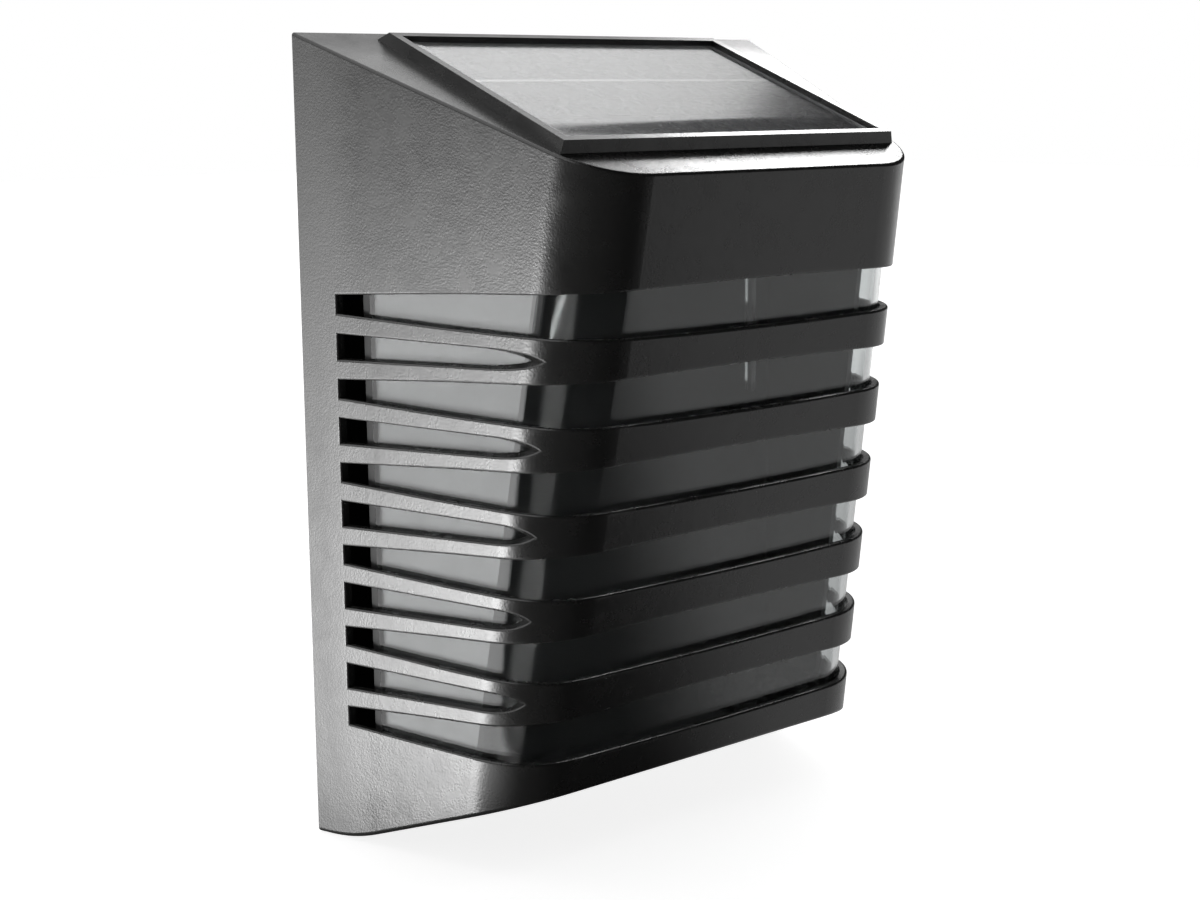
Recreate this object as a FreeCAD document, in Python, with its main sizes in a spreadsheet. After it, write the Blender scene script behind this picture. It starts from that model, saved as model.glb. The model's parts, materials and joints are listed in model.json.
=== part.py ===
import FreeCAD, Part
import math
import os
import re

from FreeCAD import Placement, Rotation, Vector
import Sketcher

# Solar fence light: a louvred wedge housing hung on a fence or wall, with a solar panel on
# its sloping roof, a clear lens behind the louvres and the works in the solid head above it.
# Frame: X to the right, Z up, Y into the wall. The wall plane is Y = 0, so the front of the
# lamp is towards -Y. The origin is on the wall plane, midway up and midway across.
# "Depth" is the distance from the wall plane towards the front, "height" is Z.

DRIVING_SIZES = {
    # housing, outside
    "housing_height": 150.5,
    "back_width": 117.0,
    "front_depth": 64.0,        # wall to the front edge of the roof
    "roof_slope": 21.1,         # degrees down towards the front
    "front_lean": 9.1,          # degrees, the front is deeper at its top
    "flare_angle": 15.5,        # degrees, each side opens towards the wall
    "chin_rise": 13.7,          # housing bottom to the bottom edge of the front
    "heel_land": 7.9,           # flat part of the underside beside the wall
    "heel_radius": 31.0,
    "corner_radius": 15.1,
    "chin_radius": 0.9,
    "roof_edge_radius": 0.6,
    "wall": 1.5,
    # louvres
    "slot_count": 6,
    "first_slot_drop": 48.5,    # housing top to the middle of the first long slot
    "last_slot_rise": 24.5,     # housing bottom to the middle of the last long slot
    "slot_back": 8.1,           # wall plane to the rear ends of the slots
    "slot_share": 0.5742,       # height of a long slot over the pitch, at the middle
    "slot_crown_radius": 1600.0,
    "slot_crown_span": 75.0,
    "slot_shoulder_radius": 84.0,
    "slot_taper": 11.0,         # degrees, edge slope beyond the shoulder
    "short_slot_share": 0.3032,     # height of a short slot over the pitch, at its rear end
    "short_slot_taper": 4.04,
    "short_tip_radius": 5.15,
    "short_tip_angle": 48.0,
    "slot_edge_radius": 0.45,
    # solar panel and its raised frame on the roof
    "frame_width": 82.8,
    "frame_rear": 5.6,          # distances down the roof slope from the rear edge
    "frame_front": 58.1,
    "frame_rise": 2.2,
    "frame_splay": 0.8,
    "frame_rear_splay": 3.1,
    "frame_rim": 1.7,
    "panel_recess": 1.0,        # ridge of the frame down to the face of the panel
    "panel_clearance": 0.2,
    "panel_base_thickness": 0.8,
    "cell_thickness": 0.2,
    "cell_rows": 5,
    "cell_gap": 0.3,
    "cell_margin": 2.0,
    "ribbon_width": 0.9,
    "ribbon_thickness": 0.1,
    "cover_thickness": 0.6,
    "cover_clearance": 0.05,    # clear cover over the cells and the ribbon
    "adhesive_thickness": 0.3,
    "adhesive_width": 4.0,
    "lead_hole_radius": 4.5,
    # lens and the black tray behind it
    "lens_gap": 0.5,
    "lens_wall": 1.2,
    "lens_overlap": 3.6,        # lens past the first and last slot
    "lens_back": 13.6,
    "lens_ear_height": 8.0,
    "lens_ear_thickness": 1.5,
    "lens_post_spacing": 60.0,
    "lens_ear_width": 72.0,
    "fin_width": 1.2,           # slim fin hanging from the lens roof
    "fin_thickness": 1.6,
    "fin_length": 25.5,
    "fin_place": 13.4,
    "fin_depth": 44.2,
    "backing_thickness": 2.0,
    "wing_thickness": 1.2,
    "wing_gap": 0.3,            # inside of the lens to the tray's wings
    "wing_setback": 11.5,       # lens front to the front edges of the wings
    "post_radius": 2.6,
    # back cover
    "cover_plate": 2.0,
    "cover_gap": 0.25,
    "boss_spacing": 90.0,
    "upper_boss_drop": 15.25,   # each drop is from the housing's top
    "lower_boss_rise": 10.25,
    "boss_radius": 3.3,
    "well_radius": 3.7,
    "well_wall": 1.2,
    "well_depth": 3.8,
    "keyhole_spacing": 64.0,
    "keyhole_drop": 61.25,
    "keyhole_entry_radius": 4.6,
    "keyhole_slot_width": 4.6,
    "keyhole_slot_length": 9.0,
    "cover_corner_radius": 1.0,
    "rib_thickness": 1.4,
    "rib_depth": 5.0,
    "rib_span": 96.0,
    "rib_drop": 87.25,
    "rib_spacing": 30.0,
    # fasteners
    "cover_screw_radius": 1.4,
    "cover_screw_length": 12.0,
    "cover_head_radius": 2.6,
    "cover_head_height": 2.0,
    "lens_screw_radius": 1.15,
    "lens_screw_length": 9.0,
    "lens_head_radius": 2.1,
    "lens_head_height": 1.6,
    "board_screw_radius": 0.95,
    "board_screw_length": 6.0,
    "board_head_radius": 1.8,
    "board_head_height": 1.3,
    "switch_screw_radius": 0.8,
    "switch_screw_length": 4.2,
    "switch_head_radius": 1.4,
    "switch_head_height": 1.1,
    "head_taper": 0.75,         # top of a screw head over its foot
    "cross_width": 0.5,
    "cross_share": 0.55,        # cross recess over the head, across and deep
    "screw_clearance": 0.15,
    "pilot_clearance": 0.05,
    "pilot_spare": 0.6,         # pilot hole past the screw's tip
    # battery and its bay in the back cover
    "battery_radius": 7.1,
    "battery_length": 48.5,
    "battery_cap_radius": 2.7,
    "battery_cap_length": 1.3,
    "battery_drop": 19.25,
    "battery_clearance": 0.6,
    "battery_cover": 1.5,       # inside of the door to the battery
    "spring_space": 5.1,
    "spring_half_height": 6.0,
    "spring_width": 6.0,
    "spring_thickness": 0.3,
    "spring_clearance": 0.1,
    "contact_thickness": 0.5,
    "contact_width": 9.0,
    "tab_width": 3.0,
    "tab_reach": 1.8,           # past the outside of the bay
    "bay_wall": 1.3,
    "door_thickness": 1.6,
    "door_gap": 0.3,
    "door_border": 2.0,
    "door_ledge": 1.8,
    "door_skirt": 2.4,
    "door_skirt_wall": 1.0,
    "door_skirt_length": 40.0,
    "thumb_radius": 4.5,
    "thumb_place": 21.0,
    "thumb_depth": 0.6,
    # slide switch
    "switch_place": 42.0,
    "switch_drop": 27.75,
    "switch_block_length": 24.0,
    "switch_block_width": 9.0,
    "switch_block_depth": 5.0,
    "switch_well_length": 10.0,
    "switch_well_width": 6.6,
    "switch_well_depth": 3.5,
    "switch_body_length": 12.0,
    "switch_body_width": 6.0,
    "switch_body_depth": 5.2,
    "switch_flange_length": 20.0,
    "switch_flange_thickness": 0.6,
    "switch_screw_spacing": 16.0,
    "knob_width": 2.8,
    "knob_height": 2.4,
    "knob_inset": 1.2,
    "knob_plate_length": 5.6,
    "knob_plate_height": 4.0,
    "knob_plate_thickness": 1.0,
    "switch_travel": 2.0,
    "slide_clearance": 0.3,
    "lug_width": 1.6,
    "lug_thickness": 0.4,
    "lug_length": 2.4,
    "lug_spacing": 3.6,
    # circuit board, lamps and parts on it
    "board_length": 48.0,
    "board_width": 18.0,
    "board_thickness": 1.6,
    "board_place": 34.0,        # depth of its middle
    "board_stand": 5.2,         # lens roof to the underside of the board
    "board_screw_spacing": 40.0,
    "board_boss_radius": 2.3,
    "lamp_spacing": 24.0,
    "lamp_radius": 2.5,
    "lamp_height": 8.4,
    "lamp_rim": 0.4,
    "lamp_rim_height": 1.0,
    "lamp_clearance": 0.3,
    "pin_radius": 0.25,
    "pin_spacing": 2.54,
    "pin_reach": 0.8,
    "pin_clearance": 0.1,
    "chip_length": 5.0,
    "chip_width": 4.0,
    "chip_thickness": 1.6,
    "chip_place": 6.0,          # chip and coil, each side of the middle
    "chip_depth": 38.5,
    "coil_radius": 1.6,
    "coil_length": 6.5,
    "coil_stand": 0.2,
    # wires: where each pair lands on the board
    "wire_radius": 0.5,
    "wire_gap": 0.2,            # end of a wire to the piece it is soldered to
    "solar_wire_place": 4.0,
    "solar_wire_depth": 33.0,
    "solar_wire_start": 2.0,
    "battery_wire_place": 16.0,
    "battery_wire_depth": 38.0,
    "switch_wire_place": 21.0,
    "switch_wire_depth": 29.5,
    "switch_wire_step": 3.4,
}

doc = FreeCAD.newDocument("fence_light")
sheet = doc.addObject("Spreadsheet::Sheet", "Sizes")
for row, (size_name, size_value) in enumerate(DRIVING_SIZES.items(), start=1):
    sheet.set("A%d" % row, size_name)
    sheet.set("B%d" % row, str(size_value))
    sheet.setAlias("B%d" % row, size_name)
doc.recompute()

# Lengths that several pieces share, written once in terms of the driving sizes.
SHARED = {
    "top": "housing_height / 2",
    "upper_boss": "TOP - upper_boss_drop",
    "lower_boss": "lower_boss_rise - TOP",
    "keyhole_height": "TOP - keyhole_drop",
    "rib_height": "TOP - rib_drop",
    "battery_height": "TOP - battery_drop",
    "switch_height": "TOP - switch_drop",
    "slot_pitch": "(housing_height - first_slot_drop - last_slot_rise) / (slot_count - 1)",
    "slot_height": "SLOT_PITCH * slot_share",
    "short_slot_height": "SLOT_PITCH * short_slot_share",
    "roof_drop": "front_depth * tan(roof_slope)",
    "chin_depth": "front_depth - (housing_height - ROOF_DROP - chin_rise) * tan(front_lean)",
    "slot_one": "TOP - first_slot_drop",
    "slot_last": "SLOT_ONE - (slot_count - 1) * SLOT_PITCH",
    "slot_half_span": "back_width / 2 - slot_back * tan(flare_angle)",
    "lens_inset": "wall + lens_gap",
    "lens_top": "SLOT_ONE + SLOT_HEIGHT / 2 + lens_overlap",
    "lens_bottom": "SLOT_LAST - SLOT_HEIGHT / 2 - lens_overlap",
    "lens_half": "back_width / 2 - lens_back * tan(flare_angle) - LENS_INSET / cos(flare_angle)",
    "ear_middle": "lens_ear_height * 0.56",
    "ear_front": "lens_back + lens_ear_thickness",
    "backing_rear": "lens_back - backing_thickness",
    "wing_inset": "LENS_INSET + lens_wall + wing_gap",
    "cover_half": "back_width / 2 - wall / cos(flare_angle) - cover_plate * tan(flare_angle)"
                  " - cover_gap",
    "cover_top": "TOP - wall / cos(roof_slope) - cover_plate * tan(roof_slope) - cover_gap",
    "cover_bottom": "-TOP + wall + cover_gap",
    "bay_half": "(battery_length + battery_cap_length + spring_space) / 2 + contact_thickness",
    "bay_high": "battery_radius + battery_clearance",
    "battery_depth": "door_thickness + battery_cover + battery_radius",
    "bay_floor": "BATTERY_DEPTH + battery_radius + battery_clearance",
    "battery_left": "-BAY_HALF + contact_thickness + spring_space",
    "board_under": "LENS_TOP + board_stand",
    "board_top": "BOARD_UNDER + board_thickness",
    "block_front": "switch_block_depth + switch_flange_thickness",
    "well_floor": "well_depth + well_wall",
    "panel_width": "frame_width - 2 * frame_rim - 2 * panel_clearance",
    "panel_rear": "frame_rear + frame_rim + panel_clearance",
    "panel_front": "frame_front - frame_rim - panel_clearance",
    "panel_face": "frame_rise - panel_recess",
    "base_under": "PANEL_FACE - cover_thickness - panel_base_thickness",
    "recess_floor": "BASE_UNDER - adhesive_thickness",
    "panel_middle": "(PANEL_REAR + PANEL_FRONT) / 2",
    "cell_top": "BASE_UNDER + panel_base_thickness + cell_thickness",
    "row_width": "(PANEL_FRONT - PANEL_REAR - 2 * cell_margin - (cell_rows - 1) * cell_gap)"
                 " / cell_rows",
}


def formula(text):
    """Write a formula out in full, with each shared length and sheet name spelled for the sheet."""
    while True:
        wider = re.sub(r"\b[A-Z][A-Z_]{2,}\b", lambda m: "(" + SHARED[m.group().lower()] + ")", text)
        if wider == text:
            break
        text = wider
    return re.sub(r"\b[a-z_]{3,}\b",
                  lambda m: "Sizes." + m.group() if m.group() in DRIVING_SIZES else m.group(), text)


def measure(text):
    """The number that a formula of sizes comes to."""
    value = sheet.evalExpression(formula(str(text)))
    return float(value)


def bind(thing, field, text):
    """Tie one property to a formula of sizes."""
    thing.setExpression(field, formula(str(text)))


# ---------------------------------------------------------------- building blocks

FORWARD = Vector(0, -1, 0)
DOWN = Vector(0, 0, -1)
UP = Vector(0, 0, 1)
ACROSS = Vector(1, 0, 0)
REARWARD = Vector(0, 1, 0)
SIDES = ("", "-")


def new_body(label):
    """An empty solid under its own label."""
    body = doc.addObject("PartDesign::Body", label)
    body.Label = label
    return body


def plane_of(body, role):
    """One of a body's own origin planes."""
    return next(f for f in body.Origin.OriginFeatures if f.Role == role)


def new_sketch(body, name, role, lift=0, tilt=None):
    """A sketch on an origin plane of its body, lifted along the plane's normal.

    On the XZ plane the normal points to the front, so lift is a depth there.
    With tilt the sketch lies on the roof slope, lift above it."""
    sketch = body.newObject("Sketcher::SketchObject", name)
    sketch.AttachmentSupport = [(plane_of(body, role), "")]
    sketch.MapMode = "FlatFace"
    if tilt is None:
        sketch.AttachmentOffset = Placement(Vector(0, 0, measure(lift)), Rotation())
        bind(sketch, "AttachmentOffset.Base.z", lift)
    else:
        sketch.AttachmentOffset = Placement(Vector(), Rotation(Vector(1, 0, 0), measure(tilt)))
        bind(sketch, "AttachmentOffset.Base.y", "-(%s) * sin(%s)" % (lift, tilt))
        bind(sketch, "AttachmentOffset.Base.z", "TOP + (%s) * cos(%s)" % (lift, tilt))
        bind(sketch, "AttachmentOffset.Rotation.Angle", tilt)
    return sketch


def pin(sketch, edge, point, across, up):
    """Fix one point of an edge by two formulas."""
    for kind, text, name in (("DistanceX", across, "x"), ("DistanceY", up, "y")):
        number = sketch.addConstraint(
            Sketcher.Constraint(kind, -1, 1, edge, point, measure(text)))
        label = "%s%d_%d" % (name, edge, point)
        sketch.renameConstraint(number, label)
        bind(sketch, "Constraints." + label, text)


def add_loop(sketch, corners):
    """A closed outline through corners (across, up) or (across, up, radius).

    A radius makes the edge to the next corner an arc. A plus sign bends it to the left of
    the way along the outline, a minus sign to the right."""
    first = sketch.GeometryCount
    count = len(corners)
    spots = [Vector(measure(c[0]), measure(c[1]), 0) for c in corners]
    for index, corner in enumerate(corners):
        start = spots[index]
        end = spots[(index + 1) % count]
        if len(corner) == 2:
            sketch.addGeometry(Part.LineSegment(start, end), False)
        else:
            sketch.addGeometry(arc_between(start, end, measure(corner[2])), False)
    for index in range(count):
        edge = first + index
        following = first + (index + 1) % count
        here = end_point_near(sketch, edge, spots[(index + 1) % count])
        there = end_point_near(sketch, following, spots[(index + 1) % count])
        sketch.addConstraint(Sketcher.Constraint("Coincident", edge, here, following, there))
    for index, corner in enumerate(corners):
        pin(sketch, first + index, end_point_near(sketch, first + index, spots[index]),
            corner[0], corner[1])
        if len(corner) == 3:
            number = sketch.addConstraint(
                Sketcher.Constraint("Radius", first + index, abs(measure(corner[2]))))
            sketch.renameConstraint(number, "r%d" % (first + index))
            bind(sketch, "Constraints.r%d" % (first + index), "abs(%s)" % corner[2])


def arc_between(start, end, radius):
    """An arc of a given radius between two points, bending left for a plus sign."""
    chord = end - start
    reach = abs(radius)
    sagitta = reach - math.sqrt(reach * reach - chord.Length * chord.Length / 4)
    left = Vector(-chord.y, chord.x, 0).normalize()
    middle = (start + end) * 0.5 + left * math.copysign(sagitta, radius)
    return Part.Arc(start, middle, end)


def end_point_near(sketch, edge, spot):
    """Number 1 or 2, whichever end of an edge lies at a spot."""
    first = sketch.getPoint(edge, 1).distanceToPoint(spot)
    second = sketch.getPoint(edge, 2).distanceToPoint(spot)
    return 1 if first <= second else 2


def add_circle(sketch, across, up, radius):
    """A circle by formulas of its middle and radius."""
    middle = Vector(measure(across), measure(up), 0)
    edge = sketch.addGeometry(Part.Circle(middle, Vector(0, 0, 1), measure(radius)), False)
    pin(sketch, edge, 3, across, up)
    number = sketch.addConstraint(Sketcher.Constraint("Radius", edge, measure(radius)))
    sketch.renameConstraint(number, "r%d" % edge)
    bind(sketch, "Constraints.r%d" % edge, radius)


def add_rectangle(sketch, left, right, low, high):
    """An upright rectangle by formulas of its four sides."""
    add_loop(sketch, [(left, low), (right, low), (right, high), (left, high)])


def pad(body, sketch, length, backwards=False, both=False):
    """Raise a sketch into a solid."""
    feature = body.newObject("PartDesign::Pad", sketch.Name + "_pad")
    feature.Profile = sketch
    bind(feature, "Length", length)
    feature.Reversed = backwards
    feature.Midplane = both
    doc.recompute()
    return feature


def pocket(body, sketch, length, forwards=True, both=False):
    """Cut a sketch out of the solid. Forwards means along the sketch plane's normal."""
    before = body.Tip.Shape.Volume
    feature = body.newObject("PartDesign::Pocket", sketch.Name + "_cut")
    feature.Profile = sketch
    bind(feature, "Length", length)
    feature.Reversed = forwards
    feature.Midplane = both
    doc.recompute()
    if feature.Shape.isNull() or feature.Shape.Volume >= before - 1e-6:
        raise RuntimeError(sketch.Name + " cuts nothing")
    return feature


def round_edges(body, name, radius, wanted):
    """Fillet the edges of the solid that a test picks."""
    base = body.Tip
    names = ["Edge%d" % (i + 1) for i, edge in enumerate(base.Shape.Edges) if wanted(edge)]
    if not names:
        raise RuntimeError(name + " finds no edge")
    feature = body.newObject("PartDesign::Fillet", name)
    feature.Base = (base, names)
    bind(feature, "Radius", radius)
    doc.recompute()
    return feature


def cylinder(name, radius, length, across, depth, height, axis):
    """A plain cylinder from a starting point along an axis."""
    rod = doc.addObject("Part::Cylinder", name)
    rod.Placement = Placement(Vector(), Rotation(Vector(0, 0, 1), axis))
    bind(rod, "Radius", radius)
    bind(rod, "Height", length)
    bind(rod, "Placement.Base.x", across)
    bind(rod, "Placement.Base.y", "-(%s)" % depth)
    bind(rod, "Placement.Base.z", height)
    return rod


def box(name, left, length, rear, thick, low, high):
    """A plain box: left edge and length, rear depth and thickness, low edge and height."""
    block = doc.addObject("Part::Box", name)
    bind(block, "Length", length)
    bind(block, "Width", thick)
    bind(block, "Height", high)
    bind(block, "Placement.Base.x", left)
    bind(block, "Placement.Base.y", "-(%s) - (%s)" % (rear, thick))
    bind(block, "Placement.Base.z", low)
    return block


def joined(label, pieces):
    """Several solids under one label, fused where they touch."""
    whole = doc.addObject("Part::MultiFuse", label)
    whole.Shapes = pieces
    whole.Label = label
    return whole


def grouped(label, pieces):
    """Several separate solids under one label."""
    group = doc.addObject("Part::Compound", label)
    group.Links = pieces
    group.Label = label
    return group


def carved(label, base, tools):
    """A solid with other solids taken out of it."""
    result = doc.addObject("Part::Cut", label)
    result.Base = base
    result.Tool = tools[0] if len(tools) == 1 else joined(label + "_holes", tools)
    result.Label = label
    return result


def tilted_box(name, left, length, low, rise, under, thick):
    """A plain box lying on the roof slope: its lower edge down the slope, and its lift."""
    block = doc.addObject("Part::Box", name)
    block.Placement = Placement(Vector(), Rotation(ACROSS, measure("roof_slope")))
    bind(block, "Placement.Rotation.Angle", "roof_slope")
    bind(block, "Length", length)
    bind(block, "Width", rise)
    bind(block, "Height", thick)
    bind(block, "Placement.Base.x", left)
    bind(block, "Placement.Base.y",
         "(%s) * cos(roof_slope) - (%s) * sin(roof_slope)" % (low, under))
    bind(block, "Placement.Base.z",
         "TOP + (%s) * sin(roof_slope) + (%s) * cos(roof_slope)" % (low, under))
    return block


def screws(label, kind, outward, places):
    """Cross-head screws of one kind, each at (across, depth, height) of its head's foot."""
    name = label + "_"
    head = doc.addObject("Part::Cone", name + "head")
    bind(head, "Radius1", kind + "_head_radius")
    bind(head, "Radius2", kind + "_head_radius * head_taper")
    bind(head, "Height", kind + "_head_height")
    shank = doc.addObject("Part::Cylinder", name + "shank")
    bind(shank, "Radius", kind + "_screw_radius")
    bind(shank, "Height", kind + "_screw_length")
    bind(shank, "Placement.Base.z", "-%s_screw_length" % kind)
    arms = []
    reach = "%s_head_radius * cross_share" % kind
    for arm, (long_side, short_side) in enumerate((("Length", "Width"), ("Width", "Length"))):
        bar = doc.addObject("Part::Box", "%scross_%d" % (name, arm))
        bind(bar, long_side, "2 * " + reach)
        bind(bar, short_side, "cross_width")
        bind(bar, "Height", kind + "_head_height")
        long_axis, short_axis = ("x", "y") if arm == 0 else ("y", "x")
        bind(bar, "Placement.Base." + long_axis, "-" + reach)
        bind(bar, "Placement.Base." + short_axis, "-cross_width / 2")
        bind(bar, "Placement.Base.z", "%s_head_height * (1 - cross_share)" % kind)
        arms.append(bar)
    blank = joined(name + "blank", [head, shank])
    cross = joined(name + "cross", arms)
    group = []
    for number, (across, depth, height) in enumerate(places, start=1):
        screw = doc.addObject("Part::Cut", "%s%d" % (name, number))
        screw.Base = blank
        screw.Tool = cross
        screw.Placement = Placement(Vector(), Rotation(UP, outward))
        bind(screw, "Placement.Base.x", across)
        bind(screw, "Placement.Base.y", "-(%s)" % depth)
        bind(screw, "Placement.Base.z", height)
        group.append(screw)
    return grouped(label, group)


def wire(label, points):
    """A plain tube along straight runs joined by tangent arcs, through (across, depth, height)."""
    spots = [Vector(measure(p[0]), -measure(p[1]), measure(p[2])) for p in points]
    edges = []
    here = spots[0]
    for before, corner, after in zip(spots, spots[1:], spots[2:]):
        inward = before - corner
        outward = after - corner
        setback = BEND_SHARE * min(inward.Length, outward.Length)
        half_turn = (math.pi - inward.getAngle(outward)) / 2
        radius = setback / math.tan(half_turn)
        inward.normalize()
        outward.normalize()
        start = corner + inward * setback
        end = corner + outward * setback
        centre = corner + (inward + outward).normalize() * (radius / math.cos(half_turn))
        middle = centre + (corner - centre).normalize() * radius
        edges.append(Part.LineSegment(here, start).toShape())
        edges.append(Part.Arc(start, middle, end).toShape())
        here = end
        print("%s bends at %.1f mm" % (label, radius))
    edges.append(Part.LineSegment(here, spots[-1]).toShape())
    ring = Part.Circle(spots[0], spots[1] - spots[0], measure("wire_radius"))
    tube = doc.addObject("Part::Feature", label)
    tube.Shape = Part.Wire(edges).makePipeShell([Part.Wire(ring.toShape())], True, False)
    tube.Label = label
    return tube


BEND_SHARE = 0.45       # part of the shorter run that a wire's bend takes up


# ---------------------------------------------------------------- the wedge form

def add_block(body, inset, roof, floor):
    """A block with a leaning front and the housing's flared sides, moved inwards by inset.

    roof and floor are lists of profile corners (depth, height) from the front to the rear and
    from the rear to the front."""
    profile = new_sketch(body, body.Name + "_profile", "YZ_Plane")
    add_loop(profile, [("-(%s)" % depth, height) for depth, height in floor + roof])
    pad(body, profile, "back_width + 2", both=True)
    flare = new_sketch(body, body.Name + "_flare", "XY_Plane")
    half_rear = "(back_width / 2 - (%s) / cos(flare_angle) + 5 * tan(flare_angle))" % inset
    reach = "(front_depth + 10)"
    half_front = half_rear + " - (%s + 5) * tan(flare_angle)" % reach
    outside = "back_width"
    for side in SIDES:
        add_loop(flare, [("%s(%s)" % (side, half_rear), "5"),
                         ("%s(%s)" % (side, half_front), "-%s" % reach),
                         ("%s(%s)" % (side, outside), "-%s" % reach),
                         ("%s(%s)" % (side, outside), "5")])
    pocket(body, flare, "2 * housing_height", both=True)


def add_wedge(body, inset, roof, floor):
    """The same block with its two front corners rounded."""
    add_block(body, inset, roof, floor)
    round_edges(body, body.Name + "_corners", "corner_radius - (%s)" % inset, is_front_corner)


def is_front_corner(edge):
    """The two long edges between the sides and the leaning front."""
    box_of = edge.BoundBox
    return (box_of.ZLength > measure("housing_height / 2") and box_of.YMax < -measure("CHIN_DEPTH / 2")
            and box_of.XLength > 0.5)


def front_depth_at(height, inset="0"):
    """Depth of the leaning front at a height, moved inwards by inset."""
    return ("(front_depth - (TOP - ROOF_DROP - (%s)) * tan(front_lean) - (%s) / cos(front_lean))"
            % (height, inset))


def outer_form(body, inset="0"):
    """The housing's outside before it is hollowed, or a form about inset within it."""
    chin = "-TOP + chin_rise + " + inset
    low = "-TOP + " + inset
    add_wedge(body, inset,
              roof=[("front_depth - " + inset, "TOP - ROOF_DROP - " + inset),
                    ("0", "TOP - " + inset)],
              floor=[("0", low), ("heel_land", low), ("CHIN_DEPTH - " + inset, chin)])

    def is_heel(edge):
        box_of = edge.BoundBox
        return (box_of.XLength > measure("back_width") / 2 and box_of.ZLength < 0.01
                and abs(box_of.YMax + measure("heel_land")) < 0.01)
    round_edges(body, body.Name + "_heel", "heel_radius", is_heel)


# ---------------------------------------------------------------- housing

def slot_outline():
    """Half outline of a long slot, right of the middle, as (across, up) formulas.

    A crown arc over the middle, a tighter shoulder arc, then a straight taper."""
    crown = "asin(slot_crown_span / 2 / slot_crown_radius)"
    shoulder = "(slot_crown_span / 2)"
    crown_drop = "(slot_crown_radius * (1 - cos(%s)))" % crown
    shoulder_high = "(SLOT_HEIGHT / 2 - %s)" % crown_drop
    taper_start = ("(%s + slot_shoulder_radius * (sin(slot_taper) - sin(%s)))"
                   % (shoulder, crown))
    taper_high = ("(%s - slot_shoulder_radius * (cos(%s) - cos(slot_taper)))"
                  % (shoulder_high, crown))
    end_high = "(%s - (SLOT_HALF_SPAN - %s) * tan(slot_taper))" % (taper_high, taper_start)
    return shoulder, shoulder_high, taper_start, taper_high, end_high


def cut_long_slots(body):
    """The long slots: over the front and round both corners."""
    shoulder, shoulder_high, taper_start, taper_high, end_high = slot_outline()
    sketch = new_sketch(body, "long_slot", "XZ_Plane", lift="slot_back")
    up = "SLOT_ONE + "
    low = "SLOT_ONE - "
    end = "SLOT_HALF_SPAN"
    add_loop(sketch, [
        (end, low + end_high),
        (end, up + end_high),
        (taper_start, up + taper_high, "-slot_shoulder_radius"),
        (shoulder, up + shoulder_high, "-slot_crown_radius"),
        ("-" + shoulder, up + shoulder_high, "-slot_shoulder_radius"),
        ("-" + taper_start, up + taper_high),
        ("-(%s)" % end, up + end_high),
        ("-(%s)" % end, low + end_high),
        ("-" + taper_start, low + taper_high, "-slot_shoulder_radius"),
        ("-" + shoulder, low + shoulder_high, "-slot_crown_radius"),
        (shoulder, low + shoulder_high, "-slot_shoulder_radius"),
        (taper_start, low + taper_high)])
    first = pocket(body, sketch, "2 * front_depth")
    repeat_down(body, "long_slots", first, "slot_count")


def cut_short_slots(body):
    """The short slots: one pair in each louvre bar, pointed at the corner."""
    half_end = "SHORT_SLOT_HEIGHT / 2"
    tip_high = "(short_tip_radius * (cos(short_slot_taper) - cos(short_tip_angle)))"
    tip_start = "(SLOT_HALF_SPAN - (%s - %s) / tan(short_slot_taper))" % (half_end, tip_high)
    tip = ("(%s - short_tip_radius * (sin(short_tip_angle) - sin(short_slot_taper)))" % tip_start)
    middle = "(SLOT_ONE - SLOT_PITCH / 2)"
    sketch = new_sketch(body, "short_slot", "XZ_Plane", lift="slot_back")
    add_loop(sketch, [
        ("SLOT_HALF_SPAN", "%s - %s" % (middle, half_end)),
        ("SLOT_HALF_SPAN", "%s + %s" % (middle, half_end)),
        (tip_start, "%s + %s" % (middle, tip_high), "-short_tip_radius"),
        (tip, middle, "-short_tip_radius"),
        (tip_start, "%s - %s" % (middle, tip_high))])
    add_loop(sketch, [
        ("-SLOT_HALF_SPAN", "%s + %s" % (middle, half_end)),
        ("-SLOT_HALF_SPAN", "%s - %s" % (middle, half_end)),
        ("-" + tip_start, "%s - %s" % (middle, tip_high), "-short_tip_radius"),
        ("-" + tip, middle, "-short_tip_radius"),
        ("-" + tip_start, "%s + %s" % (middle, tip_high))])
    first = pocket(body, sketch, "2 * front_depth")
    repeat_down(body, "short_slots", first, "slot_count - 1")


def repeat_down(body, name, feature, count):
    """Repeat a cut downwards at the slot pitch."""
    pattern = body.newObject("PartDesign::LinearPattern", name)
    pattern.Originals = [feature]
    pattern.Direction = (next(f for f in body.Origin.OriginFeatures if f.Role == "Z_Axis"), [""])
    pattern.Reversed = True
    bind(pattern, "Occurrences", count)
    bind(pattern, "Length", "((%s) - 1) * SLOT_PITCH" % count)
    body.Tip = pattern
    doc.recompute()


def add_panel_frame(body):
    """The raised frame on the roof, splayed outwards to its foot."""
    foot = new_sketch(body, "frame_foot", "XY_Plane", lift="-wall / 2", tilt="roof_slope")
    ridge = new_sketch(body, "frame_ridge", "XY_Plane", lift="frame_rise", tilt="roof_slope")
    half = "(frame_width / 2)"
    add_rectangle(foot, "-%s - frame_splay" % half, "%s + frame_splay" % half,
                  "-frame_front - frame_splay", "-frame_rear + frame_rear_splay")
    add_rectangle(ridge, "-" + half, half, "-frame_front", "-frame_rear")
    loft = body.newObject("PartDesign::AdditiveLoft", "frame_loft")
    loft.Profile = foot
    loft.Sections = [ridge]
    loft.Ruled = True
    doc.recompute()


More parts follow.
